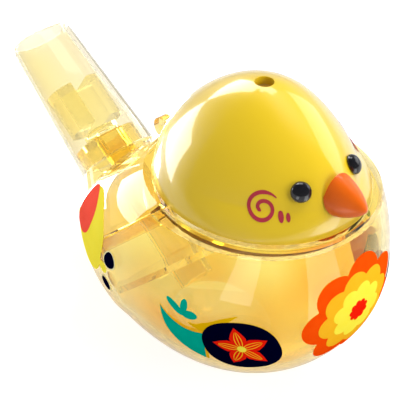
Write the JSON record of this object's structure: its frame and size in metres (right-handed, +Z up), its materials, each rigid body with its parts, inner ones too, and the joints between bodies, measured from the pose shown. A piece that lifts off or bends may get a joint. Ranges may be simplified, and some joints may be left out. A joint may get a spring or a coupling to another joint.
{
  "type": "bird whistle",
  "caption": "Clear egg-shaped water whistle with an opaque chick head, a slanting mouthpiece at the back, a whistle tube inside and a flat foot.",
  "frame": {"origin": "on the foot's flat underside, on the object's plane of symmetry", "axes": "+X the way the bird looks, +Y its left, +Z up"},
  "size_m": [0.1136, 0.0576, 0.0712],
  "materials": {
    "clear_amber": "clear moulded plastic, amber, polished",
    "clear_straw": "clear moulded plastic, pale straw, polished",
    "yellow_plastic": "opaque gloss yellow plastic",
    "orange_plastic": "opaque satin orange plastic",
    "black_plastic": "opaque gloss black plastic"
  },
  "bodies": {
    "root": {"bowl": "clear_amber", "rear_cap": "clear_amber", "mouthpiece": "clear_straw", "windway_block": "clear_amber", "whistle_tube": "clear_amber", "baffle_plate": "clear_amber", "head_dome": "yellow_plastic", "beak": "orange_plastic", "eye_left": "black_plastic", "eye_right": "black_plastic"}
  },
  "joints": []
}
